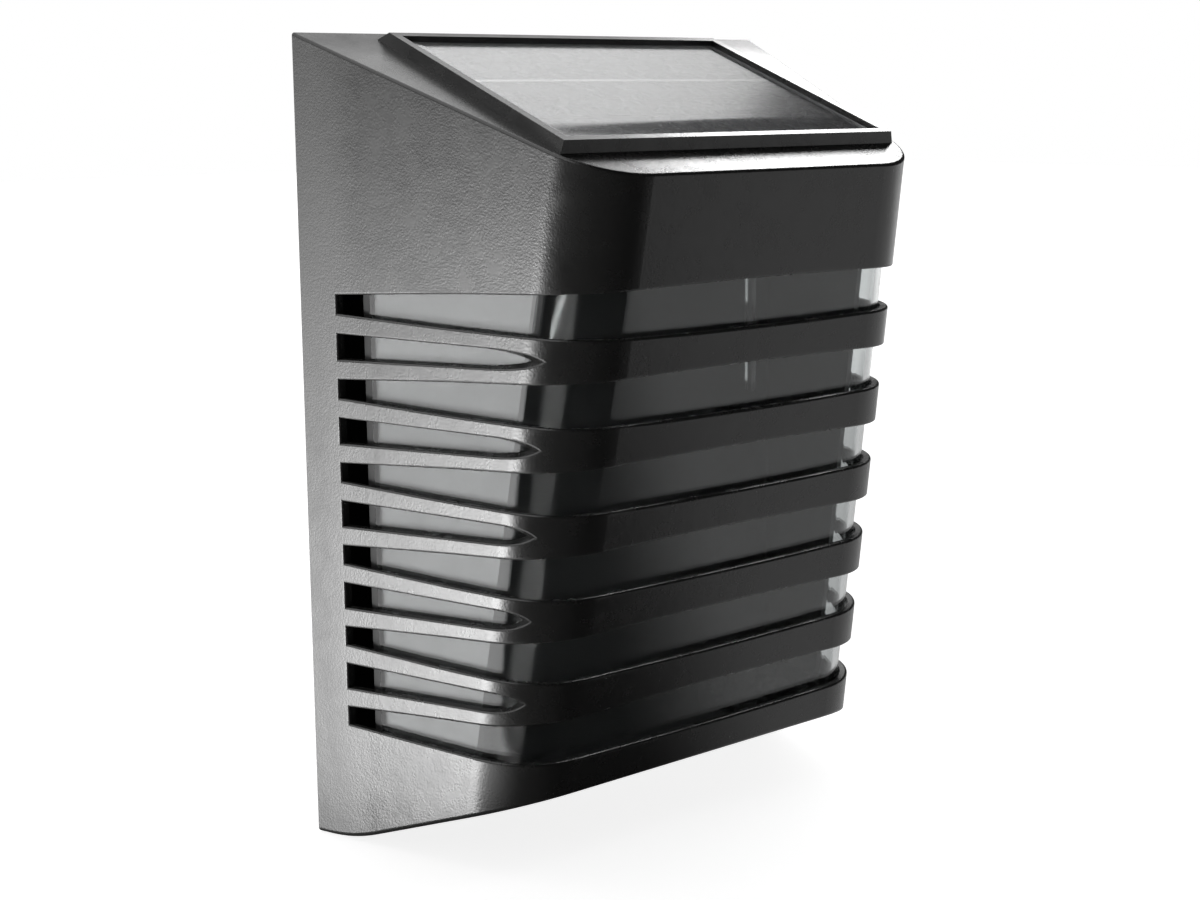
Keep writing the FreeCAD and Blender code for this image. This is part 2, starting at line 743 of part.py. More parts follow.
def cut_panel_recess(body):
    """The well inside the frame that takes the panel, and the hole for its two leads."""
    recess = new_sketch(body, "panel_recess", "XY_Plane", lift="frame_rise + 1", tilt="roof_slope")
    half = "(frame_width / 2 - frame_rim)"
    add_rectangle(recess, "-" + half, half, "-frame_front + frame_rim", "-frame_rear - frame_rim")
    pocket(body, recess, "frame_rise + 1 - RECESS_FLOOR", forwards=False)
    hole = new_sketch(body, "lead_hole", "XY_Plane", lift="frame_rise + 1", tilt="roof_slope")
    add_circle(hole, "0", "-(PANEL_REAR + PANEL_FRONT) / 2", "lead_hole_radius")
    pocket(body, hole, "frame_rise + 8", forwards=False)


def hollow(body, name, thickness, is_open):
    """Hollow a solid to a wall of one thickness, leaving out the faces that a test picks."""
    base = body.Tip
    names = ["Face%d" % (i + 1) for i, face in enumerate(base.Shape.Faces) if is_open(face)]
    shell = body.newObject("PartDesign::Thickness", name)
    shell.Base = (base, names)
    bind(shell, "Value", thickness)
    shell.Reversed = True
    shell.Mode = 0
    shell.Join = 1
    doc.recompute()


def faces_rear(face):
    """A flat face on the wall side of a solid."""
    return abs(face.BoundBox.YLength) < 1e-6 and face.normalAt(0, 0).y > 0.99


def round_rims(body, outside):
    """Small rounds on the roof's edges and on the chin's."""
    roof_limit = measure("TOP - ROOF_DROP") - 0.5
    chin_limit = measure("-TOP + chin_rise") + 0.5

    def on_outside(edge):
        middle = edge.valueAt((edge.FirstParameter + edge.LastParameter) / 2)
        return outside.distToShape(Part.Vertex(middle))[0] < 1e-4 and middle.y < -0.01

    def is_roof_edge(edge):
        return on_outside(edge) and edge.BoundBox.ZMin > roof_limit and len(edge.Vertexes) == 2

    def is_chin_edge(edge):
        return on_outside(edge) and edge.BoundBox.ZMax < chin_limit and (
            edge.BoundBox.YMin < -measure("heel_land"))
    round_edges(body, "roof_rounds", "roof_edge_radius", is_roof_edge)
    round_edges(body, "chin_rounds", "chin_radius", is_chin_edge)


def round_slots(body, outside):
    """Soft outer edges on every slot."""
    low = measure("SLOT_LAST - SLOT_HEIGHT")
    high = measure("SLOT_ONE + SLOT_HEIGHT")
    rear = measure("slot_back")

    def is_slot_edge(edge):
        box_of = edge.BoundBox
        if box_of.ZMin < low or box_of.ZMax > high:
            return False
        upright = box_of.ZLength > 0.6 * edge.Length
        if upright and abs(box_of.YMax + rear) > 0.01:
            return False
        middle = edge.valueAt((edge.FirstParameter + edge.LastParameter) / 2)
        return outside.distToShape(Part.Vertex(middle))[0] < 1e-4
    round_edges(body, "slot_rounds", "slot_edge_radius", is_slot_edge)


def at_bosses():
    """Across and height of the four screws that hold the back cover."""
    return [(side + "boss_spacing / 2", height) for side in SIDES
            for height in ("UPPER_BOSS", "LOWER_BOSS")]


def at_ears():
    """Across and height of the four screws that hold the lens."""
    return [(side + "lens_post_spacing / 2", height) for side in SIDES
            for height in ("LENS_TOP + EAR_MIDDLE", "LENS_BOTTOM - EAR_MIDDLE")]


def make_housing():
    """The louvred shell with the posts inside it for the back cover and the lens."""
    shell = new_body("housing_shell")
    outer_form(shell)
    outside = shell.Tip.Shape.Shells[0]
    hollow(shell, "housing_hollow", "wall", faces_rear)
    round_rims(shell, outside)
    add_panel_frame(shell)
    cut_panel_recess(shell)
    cut_long_slots(shell)
    cut_short_slots(shell)
    round_slots(shell, outside)
    envelope = new_body("housing_envelope")
    outer_form(envelope, "wall / 2")
    posts = []
    pilots = []
    for number, (across, height) in enumerate(at_bosses(), start=1):
        posts.append(cylinder("boss_%d" % number, "boss_radius", "front_depth",
                              across, "WELL_FLOOR", height, FORWARD))
        pilots.append(cylinder("boss_pilot_%d" % number, "cover_screw_radius + pilot_clearance",
                               "cover_screw_length - well_wall + pilot_spare",
                               across, "WELL_FLOOR", height, FORWARD))
    for number, (across, height) in enumerate(at_ears(), start=1):
        posts.append(cylinder("post_%d" % number, "post_radius", "front_depth",
                              across, "EAR_FRONT", height, FORWARD))
        pilots.append(cylinder("post_pilot_%d" % number, "lens_screw_radius + pilot_clearance",
                               "lens_screw_length - lens_ear_thickness - backing_thickness"
                               " + pilot_spare", across, "EAR_FRONT", height, FORWARD))
    trimmed = doc.addObject("Part::Common", "housing_posts")
    trimmed.Base = joined("housing_post_rods", posts)
    trimmed.Tool = envelope
    return carved("housing", joined("housing_solid", [shell, trimmed]), pilots)


# ---------------------------------------------------------------- lens and the tray behind it

def add_ears(body, front_of, name, thick):
    """Four screw ears in two strips, above and below the lens outline."""
    sketch = new_sketch(body, name, "XZ_Plane", lift=front_of)
    half = "(lens_ear_width / 2)"
    add_rectangle(sketch, "-" + half, half, "LENS_TOP - lens_wall", "LENS_TOP + lens_ear_height")
    add_rectangle(sketch, "-" + half, half, "LENS_BOTTOM - lens_ear_height",
                  "LENS_BOTTOM + lens_wall")
    pad(body, sketch, thick)
    holes = new_sketch(body, name + "_holes", "XZ_Plane", lift=front_of)
    for across, height in at_ears():
        add_circle(holes, across, height, "lens_screw_radius + screw_clearance")
    pocket(body, holes, thick)


def make_lens():
    """The clear box behind the louvres, with the board's bosses on its roof."""
    lens = new_body("lens")
    add_wedge(lens, "LENS_INSET",
              roof=[(front_depth_at("LENS_TOP", "LENS_INSET"), "LENS_TOP"),
                    ("lens_back", "LENS_TOP")],
              floor=[("lens_back", "LENS_BOTTOM"),
                     (front_depth_at("LENS_BOTTOM", "LENS_INSET"), "LENS_BOTTOM")])
    hollow(lens, "lens_hollow", "lens_wall", faces_rear)
    add_ears(lens, "lens_back", "lens_ears", "lens_ear_thickness")
    bosses = new_sketch(lens, "board_bosses", "XY_Plane", lift="LENS_TOP")
    pilots = new_sketch(lens, "board_pilots", "XY_Plane", lift="BOARD_UNDER")
    lamps = new_sketch(lens, "lamp_holes", "XY_Plane", lift="LENS_TOP")
    for side in SIDES:
        add_circle(bosses, side + "board_screw_spacing / 2", "-board_place", "board_boss_radius")
        add_circle(lamps, side + "lamp_spacing / 2", "-board_place",
                   "lamp_radius + lamp_clearance")
    pad(lens, bosses, "board_stand")
    for side in SIDES:
        add_circle(pilots, side + "board_screw_spacing / 2", "-board_place",
                   "board_screw_radius + pilot_clearance")
    pocket(lens, pilots, "board_screw_length - board_thickness + pilot_clearance", forwards=False)
    pocket(lens, lamps, "lens_wall", forwards=False)
    fin = new_sketch(lens, "light_fin", "XZ_Plane", lift="fin_depth - fin_thickness / 2")
    left = "fin_place - fin_width / 2"
    right = "fin_place + fin_width / 2"
    foot = "LENS_TOP - lens_wall - fin_length"
    add_loop(fin, [(left, "LENS_TOP - lens_wall / 2"), (left, foot, "-fin_width * 0.55"),
                   (right, foot), (right, "LENS_TOP - lens_wall / 2")])
    pad(lens, fin, "fin_thickness")
    return lens


def make_backing():
    """The black tray that closes the lens at the rear, with a wing along each flat side of it."""
    tray = new_body("backing_tray")
    low = "LENS_BOTTOM + lens_wall + wing_gap"
    high = "LENS_TOP - lens_wall - wing_gap"
    add_block(tray, "WING_INSET",
              roof=[(front_depth_at(high, "LENS_INSET") + " - wing_setback", high),
                    ("BACKING_REAR", high)],
              floor=[("BACKING_REAR", low),
                     (front_depth_at(low, "LENS_INSET") + " - wing_setback", low)])
    face = new_sketch(tray, "backing_face", "XZ_Plane", lift="BACKING_REAR")
    add_rectangle(face, "-LENS_HALF", "LENS_HALF", "LENS_BOTTOM", "LENS_TOP")
    pad(tray, face, "backing_thickness")
    core = new_sketch(tray, "backing_core", "XY_Plane")
    side_at = ("(back_width / 2 - (WING_INSET + wing_thickness) / cos(flare_angle)"
               " - (%s) * tan(flare_angle))")
    rear = side_at % "lens_back"
    front = side_at % "front_depth"
    add_loop(core, [(rear, "-lens_back"), ("-" + rear, "-lens_back"),
                    ("-" + front, "-front_depth"), (front, "-front_depth")])
    pocket(tray, core, "2 * housing_height", both=True)
    add_ears(tray, "BACKING_REAR", "backing_ears", "backing_thickness")
    return tray


# ---------------------------------------------------------------- back cover and battery

def add_bay(cover):
    """The battery bay: a collar for the door, then a box for the cell."""
    collar = new_sketch(cover, "bay_collar", "XZ_Plane", lift="0")
    tray = new_sketch(cover, "bay_tray", "XZ_Plane", lift="0")
    inside = new_sketch(cover, "bay_inside", "XZ_Plane", lift="0")
    rebate = new_sketch(cover, "door_rebate", "XZ_Plane", lift="0")
    for sketch, margin in ((collar, "door_border + bay_wall"), (tray, "bay_wall"),
                           (inside, "0"), (rebate, "door_border")):
        add_rectangle(sketch, "-BAY_HALF - " + margin, "BAY_HALF + " + margin,
                      "BATTERY_HEIGHT - BAY_HIGH - " + margin,
                      "BATTERY_HEIGHT + BAY_HIGH + " + margin)
    pad(cover, collar, "door_thickness + door_ledge")
    pad(cover, tray, "BAY_FLOOR + bay_wall")
    pocket(cover, inside, "BAY_FLOOR")
    pocket(cover, rebate, "door_thickness")
    slits = new_sketch(cover, "contact_slits", "XZ_Plane", lift="BAY_FLOOR")
    inner = "(BAY_HALF - contact_thickness - screw_clearance)"
    half = "(tab_width / 2 + screw_clearance)"
    add_rectangle(slits, inner, "BAY_HALF", "BATTERY_HEIGHT - " + half, "BATTERY_HEIGHT + " + half)
    add_rectangle(slits, "-BAY_HALF", "-" + inner,
                  "BATTERY_HEIGHT - " + half, "BATTERY_HEIGHT + " + half)
    pocket(cover, slits, "2 * bay_wall")


def add_switch_seat(cover):
    """The block that carries the switch, sunk from the wall side for the knob."""
    block = new_sketch(cover, "switch_block", "XZ_Plane", lift="0")
    well = new_sketch(cover, "switch_well", "XZ_Plane", lift="0")
    slot = new_sketch(cover, "knob_slot", "XZ_Plane", lift="0")
    for sketch, wide, high in (
            (block, "switch_block_length", "switch_block_width"),
            (well, "switch_well_length", "switch_well_width"),
            (slot, "(knob_width + switch_travel + 2 * slide_clearance)",
             "(knob_height + 2 * slide_clearance)")):
        add_rectangle(sketch, "switch_place - %s / 2" % wide, "switch_place + %s / 2" % wide,
                      "SWITCH_HEIGHT - %s / 2" % high, "SWITCH_HEIGHT + %s / 2" % high)
    pad(cover, block, "switch_block_depth")
    pocket(cover, well, "switch_well_depth")
    pocket(cover, slot, "switch_block_depth")
    pilots = new_sketch(cover, "switch_pilots", "XZ_Plane", lift="switch_block_depth")
    for side in SIDES:
        add_circle(pilots, "switch_place %s switch_screw_spacing / 2" % (side or "+"),
                   "SWITCH_HEIGHT", "switch_screw_radius + pilot_clearance")
    pocket(cover, pilots, "switch_screw_length - switch_flange_thickness + pilot_clearance",
           forwards=False)


def add_keyholes(cover):
    """Two keyholes that hang the lamp on screws in the wall."""
    sketch = new_sketch(cover, "keyholes", "XZ_Plane", lift="0")
    half = "(keyhole_slot_width / 2)"
    shoulder = "(KEYHOLE_HEIGHT + sqrt(keyhole_entry_radius ^ 2 - (keyhole_slot_width / 2) ^ 2))"
    crest = "(KEYHOLE_HEIGHT + keyhole_slot_length)"
    for side in SIDES:
        middle = side + "keyhole_spacing / 2"
        add_loop(sketch, [
            (middle + " - " + half, shoulder, "-keyhole_entry_radius"),
            (middle, "KEYHOLE_HEIGHT - keyhole_entry_radius", "-keyhole_entry_radius"),
            (middle + " + " + half, shoulder),
            (middle + " + " + half, crest, "-keyhole_slot_width * 0.51"),
            (middle + " - " + half, crest)])
    pocket(cover, sketch, "cover_plate")


def make_cover():
    """The back cover: a plate with screw wells, battery bay, switch seat, keyholes and ribs."""
    cover = new_body("back_cover")
    plate = new_sketch(cover, "cover_plate_outline", "XZ_Plane", lift="0")
    add_rectangle(plate, "-COVER_HALF", "COVER_HALF", "COVER_BOTTOM", "COVER_TOP")
    pad(cover, plate, "cover_plate")
    round_edges(cover, "cover_corners", "cover_corner_radius",
                lambda edge: edge.BoundBox.YLength > measure("cover_plate") - 0.01)
    ribs = new_sketch(cover, "cover_ribs", "XZ_Plane", lift="0")
    for step in range(2):
        middle = "RIB_HEIGHT - %d * rib_spacing" % step
        add_rectangle(ribs, "-rib_span / 2", "rib_span / 2",
                      middle + " - rib_thickness / 2", middle + " + rib_thickness / 2")
    pad(cover, ribs, "cover_plate + rib_depth")
    wells = new_sketch(cover, "screw_wells", "XZ_Plane", lift="0")
    bores = new_sketch(cover, "screw_bores", "XZ_Plane", lift="0")
    holes = new_sketch(cover, "screw_holes", "XZ_Plane", lift="0")
    for across, height in at_bosses():
        add_circle(wells, across, height, "well_radius + well_wall")
        add_circle(bores, across, height, "well_radius")
        add_circle(holes, across, height, "cover_screw_radius + screw_clearance")
    pad(cover, wells, "WELL_FLOOR")
    add_bay(cover)
    add_switch_seat(cover)
    pocket(cover, bores, "well_depth")
    pocket(cover, holes, "WELL_FLOOR")
    add_keyholes(cover)
    return cover


def make_door():
    """The lift-off battery door, with two locating skirts and a thumb mark."""
    door = new_body("battery_door")
    face = new_sketch(door, "door_face", "XZ_Plane", lift="0")
    reach = "(BAY_HALF + door_border - door_gap)"
    rise = "(BAY_HIGH + door_border - door_gap)"
    add_rectangle(face, "-" + reach, reach, "BATTERY_HEIGHT - " + rise, "BATTERY_HEIGHT + " + rise)
    pad(door, face, "door_thickness")
    skirts = new_sketch(door, "door_skirts", "XZ_Plane", lift="0")
    outer = "(BAY_HIGH - door_gap)"
    inner = "(BAY_HIGH - door_gap - door_skirt_wall)"
    for low, high in (("+ " + inner, "+ " + outer), ("- " + outer, "- " + inner)):
        add_rectangle(skirts, "-door_skirt_length / 2", "door_skirt_length / 2",
                      "BATTERY_HEIGHT " + low, "BATTERY_HEIGHT " + high)
    pad(door, skirts, "door_thickness + door_skirt")
    thumb = new_sketch(door, "door_thumb", "XZ_Plane", lift="0")
    add_circle(thumb, "thumb_place", "BATTERY_HEIGHT", "thumb_radius")
    pocket(door, thumb, "thumb_depth")
    return door


def make_battery():
    """The cell and its cap, lying across the bay."""
    cell = cylinder("battery_cell", "battery_radius", "battery_length",
                    "BATTERY_LEFT", "BATTERY_DEPTH", "BATTERY_HEIGHT", ACROSS)
    cap = cylinder("battery_cap", "battery_cap_radius", "battery_cap_length",
                   "BATTERY_LEFT + battery_length", "BATTERY_DEPTH", "BATTERY_HEIGHT", ACROSS)
    return [cell, cap]


def make_contact(label, left):
    """A contact plate at one end of the bay, with a solder tab through its floor."""
    plate = box(label + "_plate", left, "contact_thickness",
                "BATTERY_DEPTH - contact_width / 2", "contact_width",
                "BATTERY_HEIGHT - contact_width / 2", "contact_width")
    tab = box(label + "_tab", left, "contact_thickness", "BATTERY_DEPTH",
              "BAY_FLOOR + bay_wall + tab_reach - (BATTERY_DEPTH)",
              "BATTERY_HEIGHT - tab_width / 2", "tab_width")
    return joined(label, [plate, tab])


def make_spring():
    """The bowed leaf that presses the cell against the far contact."""
    spring = new_body("contact_spring")
    leaf = new_sketch(spring, "spring_leaf", "XZ_Plane", lift="BATTERY_DEPTH - spring_width / 2")
    foot = "(-BAY_HALF + contact_thickness + spring_clearance)"
    bow = "(spring_space - 2 * spring_clearance)"
    radius = "((spring_half_height ^ 2 + %s ^ 2) / 2 / %s)" % (bow, bow)
    inner = "(%s - spring_thickness)" % radius
    inner_half = "sqrt(%s ^ 2 - (%s - %s) ^ 2)" % (inner, radius, bow)
    add_loop(leaf, [(foot, "BATTERY_HEIGHT - spring_half_height", "-" + radius),
                    (foot, "BATTERY_HEIGHT + spring_half_height"),
                    (foot, "BATTERY_HEIGHT + " + inner_half, inner),
                    (foot, "BATTERY_HEIGHT - " + inner_half)])
    pad(spring, leaf, "spring_width")
    return spring


# ---------------------------------------------------------------- slide switch

def make_switch():
    """The switch body with its flange, hollowed for the knob's plate, and its three lugs."""
    flange = box("switch_flange", "switch_place - switch_flange_length / 2",
                 "switch_flange_length", "switch_block_depth", "switch_flange_thickness",
                 "SWITCH_HEIGHT - switch_body_width / 2", "switch_body_width")
    case = box("switch_case", "switch_place - switch_body_length / 2", "switch_body_length",
               "BLOCK_FRONT", "switch_body_depth",
               "SWITCH_HEIGHT - switch_body_width / 2", "switch_body_width")
    room = "(knob_plate_length + switch_travel + 2 * slide_clearance)"
    high = "(knob_plate_height + 2 * slide_clearance)"
    cavity = box("switch_cavity", "switch_place - %s / 2" % room, room, "BLOCK_FRONT",
                 "knob_plate_thickness + 2 * slide_clearance",
                 "SWITCH_HEIGHT - %s / 2" % high, high)
    opening = "(knob_width + switch_travel + 2 * slide_clearance)"
    low = "(knob_height + 2 * slide_clearance)"
    slot = box("switch_slot", "switch_place - %s / 2" % opening, opening, "switch_block_depth",
               "2 * switch_flange_thickness", "SWITCH_HEIGHT - %s / 2" % low, low)
    holes = [cylinder("flange_hole_%d" % number, "switch_screw_radius + screw_clearance",
                      "switch_flange_thickness",
                      "switch_place %s switch_screw_spacing / 2" % sign,
                      "switch_block_depth", "SWITCH_HEIGHT", FORWARD)
             for number, sign in enumerate("+-", start=1)]
    body = carved("switch_body", joined("switch_blank", [flange, case]), [cavity, slot] + holes)
    lugs = [box("lug_%d" % (place + 2),
                "switch_place + %d * lug_spacing - lug_width / 2" % place, "lug_width",
                "BLOCK_FRONT + switch_body_depth", "lug_length",
                "SWITCH_HEIGHT - lug_thickness / 2", "lug_thickness")
            for place in (-1, 0, 1)]
    return [body, grouped("switch_lugs", lugs)]


def make_knob():
    """The slide knob at its off end: a stem through the cover and a plate inside the switch."""
    middle = "switch_place - switch_travel / 2"
    inside = "BLOCK_FRONT + slide_clearance"
    stem = box("knob_stem", middle + " - knob_width / 2", "knob_width", "knob_inset",
               inside + " - knob_inset", "SWITCH_HEIGHT - knob_height / 2", "knob_height")
    plate = box("knob_plate", middle + " - knob_plate_length / 2", "knob_plate_length",
                inside, "knob_plate_thickness",
                "SWITCH_HEIGHT - knob_plate_height / 2", "knob_plate_height")
    return joined("switch_knob", [stem, plate])


# ---------------------------------------------------------------- board and lamps

def make_board():
    """The circuit board on the lens roof, drilled for its screws and the lamp pins."""
    blank = box("board_blank", "-board_length / 2", "board_length",
                "board_place - board_width / 2", "board_width",
                "BOARD_UNDER", "board_thickness")
    holes = []
    for number, side in enumerate(SIDES, start=1):
        holes.append(cylinder("board_hole_%d" % number, "board_screw_radius + screw_clearance",
                              "board_thickness", side + "board_screw_spacing / 2",
                              "board_place", "BOARD_UNDER", UP))
        for sign in "+-":
            holes.append(cylinder("pin_hole_%d%s" % (number, "a" if sign == "+" else "b"),
                                  "pin_radius + pin_clearance", "board_thickness",
                                  "%slamp_spacing / 2 %s pin_spacing / 2" % (side, sign),
                                  "board_place", "BOARD_UNDER", UP))
    board = carved("circuit_board", blank, holes)
    chip = box("controller_chip", "-chip_place - chip_length / 2", "chip_length",
               "chip_depth - chip_width / 2", "chip_width", "BOARD_TOP", "chip_thickness")
    coil = cylinder("inductor", "coil_radius", "coil_length", "chip_place - coil_length / 2",
                    "chip_depth", "BOARD_TOP + coil_stand + coil_radius", ACROSS)
    return [board, chip, coil]


def make_lamp(label, side):
    """A round-nosed lamp hanging from the board, with its two pins."""
    place = side + "lamp_spacing / 2"
    stem = cylinder(label + "_stem", "lamp_radius", "lamp_height - lamp_radius",
                    place, "board_place", "BOARD_UNDER", DOWN)
    rim = cylinder(label + "_rim", "lamp_radius + lamp_rim", "lamp_rim_height",
                   place, "board_place", "BOARD_UNDER", DOWN)
    nose = doc.addObject("Part::Sphere", label + "_nose")
    bind(nose, "Radius", "lamp_radius")
    bind(nose, "Placement.Base.x", place)
    bind(nose, "Placement.Base.y", "-board_place")
    bind(nose, "Placement.Base.z", "BOARD_UNDER - (lamp_height - lamp_radius)")
    pins = [cylinder("%s_pin_%d" % (label, number), "pin_radius",
                     "board_thickness + pin_reach", "%s %s pin_spacing / 2" % (place, sign),
                     "board_place", "BOARD_UNDER", UP)
            for number, sign in enumerate("+-", start=1)]
    return joined(label, [stem, rim, nose] + pins)


# ---------------------------------------------------------------- solar panel

def make_solar_panel():
    """Base, cells, ribbon, clear cover and the adhesive ring below, lying on the roof slope."""
    half = "(PANEL_WIDTH / 2)"
    long_side = "PANEL_FRONT - (PANEL_REAR)"
    base = tilted_box("solar_base", "-" + half, "PANEL_WIDTH", "-(PANEL_FRONT)", long_side,
                      "BASE_UNDER", "panel_base_thickness")
    cells = []
    for row in range(int(measure("cell_rows"))):
        low = "-(PANEL_REAR) - cell_margin - %d * (ROW_WIDTH) - %d * cell_gap" % (row + 1, row)
        cells.append(tilted_box("cell_%d" % (row + 1), "cell_margin - " + half,
                                "PANEL_WIDTH - 2 * cell_margin", low, "ROW_WIDTH",
                                "CELL_TOP - cell_thickness", "cell_thickness"))
    ribbon = tilted_box("cell_ribbon", "cell_margin - " + half, "PANEL_WIDTH - 2 * cell_margin",
                        "-(PANEL_REAR) - cell_margin - 2 * (ROW_WIDTH) - 1.5 * cell_gap"
                        " - ribbon_width / 2",
                        "ribbon_width", "CELL_TOP", "ribbon_thickness")
    glaze = tilted_box("cover_blank", "-" + half, "PANEL_WIDTH", "-(PANEL_FRONT)", long_side,
                       "CELL_TOP - cell_thickness", "cover_thickness")
    margin = "(cell_margin - cell_gap)"
    room = tilted_box("cover_room", "%s - %s" % (margin, half), "PANEL_WIDTH - 2 * " + margin,
                      "-(PANEL_FRONT) + " + margin, "%s - 2 * %s" % (long_side, margin),
                      "CELL_TOP - cell_thickness",
                      "cell_thickness + ribbon_thickness + cover_clearance")
    cover = carved("solar_cover", glaze, [room])
    ring = tilted_box("adhesive_blank", "-" + half, "PANEL_WIDTH", "-(PANEL_FRONT)", long_side,
                      "RECESS_FLOOR", "adhesive_thickness")
    gap = tilted_box("adhesive_room", "adhesive_width - " + half,
                     "PANEL_WIDTH - 2 * adhesive_width", "-(PANEL_FRONT) + adhesive_width",
                     long_side + " - 2 * adhesive_width", "RECESS_FLOOR", "adhesive_thickness")
    return [base, grouped("solar_cells", cells), ribbon, cover,
            carved("panel_adhesive", ring, [gap])]


# ---------------------------------------------------------------- wires

def make_wires():
    """Three pairs of wires from the solar panel, the battery contacts and the switch."""
    wires = []
    landing = "BOARD_TOP + wire_gap"
    middle = "(PANEL_MIDDLE * cos(roof_slope))"
    under = "(TOP - PANEL_MIDDLE * sin(roof_slope) + BASE_UNDER * cos(roof_slope)" \
            " - wire_radius - wire_gap)"
    for name, sign in (("positive", ""), ("negative", "-")):
        wires.append(wire("solar_wire_" + name, [
            (sign + "solar_wire_start", middle, under),
            (sign + "solar_wire_start", middle, under + " - 8"),
            (sign + "solar_wire_place", "solar_wire_depth", "BOARD_TOP + 7"),
            (sign + "solar_wire_place", "solar_wire_depth", landing)]))
        tab = "(BAY_HALF - contact_thickness / 2)"
        tip = "(BAY_FLOOR + bay_wall + tab_reach + wire_gap)"
        wires.append(wire("battery_wire_" + name, [
            (sign + tab, tip, "BATTERY_HEIGHT"),
            (sign + tab, tip + " + 8", "BATTERY_HEIGHT"),
            (sign + "battery_wire_place", "battery_wire_depth", "BOARD_TOP + 9"),
            (sign + "battery_wire_place", "battery_wire_depth", landing)]))
    for step, (name, lug) in enumerate((("live", "-"), ("return", "+"))):
        across = "switch_place %s lug_spacing / 2 * %d" % (lug, 2 * (1 - step))
        tip = "(BLOCK_FRONT + switch_body_depth + lug_length + wire_gap)"
        place = "switch_wire_place - %d * switch_wire_step" % (1 - step)
        deep = "switch_wire_depth - %d * switch_wire_step / 2" % (1 - step)
        wires.append(wire("switch_wire_" + name, [
            (across, tip, "SWITCH_HEIGHT"),
            (across, tip + " + 8 + %d * switch_wire_step" % step, "SWITCH_HEIGHT"),
            (place, deep, "BOARD_TOP + 8"),
            (place, deep, landing)]))
    return wires


# ---------------------------------------------------------------- the whole lamp

parts = [make_housing(), make_lens(), make_backing(), make_cover(), make_door()]
parts += make_battery()
parts += [make_contact("contact_positive", "BAY_HALF - contact_thickness"),
          make_contact("contact_negative", "-BAY_HALF"), make_spring()]
parts += make_switch()
parts += [make_knob()]
parts += make_board()
parts += [make_lamp("lamp_right", ""), make_lamp("lamp_left", "-")]
parts += make_solar_panel()
parts += make_wires()
parts += [
    screws("cover_screws", "cover", REARWARD,
           [(across, "well_depth", height) for across, height in at_bosses()]),
    screws("lens_screws", "lens", REARWARD,
           [(across, "BACKING_REAR", height) for across, height in at_ears()]),
    screws("board_screws", "board", UP,
           [(side + "board_screw_spacing / 2", "board_place", "BOARD_TOP") for side in SIDES]),
    screws("switch_screws", "switch", FORWARD,
           [("switch_place %s switch_screw_spacing / 2" % sign, "BLOCK_FRONT", "SWITCH_HEIGHT")
            for sign in "+-"]),
]
doc.recompute()

faults = [thing.Name for thing in doc.Objects
          if "Invalid" in thing.State or "Error" in thing.State]
faults += [part.Label for part in parts if part.Shape.isNull() or not part.Shape.isValid()]
if faults:
    raise RuntimeError("these don't build: " + ", ".join(faults))

os.makedirs("parts", exist_ok=True)
for part in parts:
    part.Shape.exportStep("parts/%s.step" % part.Label)
    print("%-24s %d solids %10.1f mm3" % (part.Label, len(part.Shape.Solids), part.Shape.Volume))
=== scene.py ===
import json
import math

import bpy
from mathutils import Matrix, Vector


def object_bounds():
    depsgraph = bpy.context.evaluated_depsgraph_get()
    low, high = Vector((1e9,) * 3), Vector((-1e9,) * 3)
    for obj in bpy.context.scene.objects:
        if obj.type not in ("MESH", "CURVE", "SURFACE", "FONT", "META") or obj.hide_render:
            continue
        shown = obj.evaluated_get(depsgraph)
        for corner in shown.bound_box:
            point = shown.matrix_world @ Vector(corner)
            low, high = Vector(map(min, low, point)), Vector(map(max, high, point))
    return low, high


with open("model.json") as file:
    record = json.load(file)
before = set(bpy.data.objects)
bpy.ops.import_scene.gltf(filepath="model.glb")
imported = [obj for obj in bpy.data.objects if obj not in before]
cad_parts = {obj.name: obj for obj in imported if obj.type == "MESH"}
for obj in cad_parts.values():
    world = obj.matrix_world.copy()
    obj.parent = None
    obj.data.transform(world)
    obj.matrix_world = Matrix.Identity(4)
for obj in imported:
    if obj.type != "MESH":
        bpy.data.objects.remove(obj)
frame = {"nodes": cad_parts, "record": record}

# Solar fence light. Blender metres, Z up, the wall plane at Y = 0, the front towards -Y.

CAD_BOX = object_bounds()
NODES = frame["nodes"]

# ---------------------------------------------------------------- material kit

# The Mix node's sockets for two colours and their result, which share their names with others.
COLOUR_A, COLOUR_B, COLOUR_RESULT = 6, 7, 2


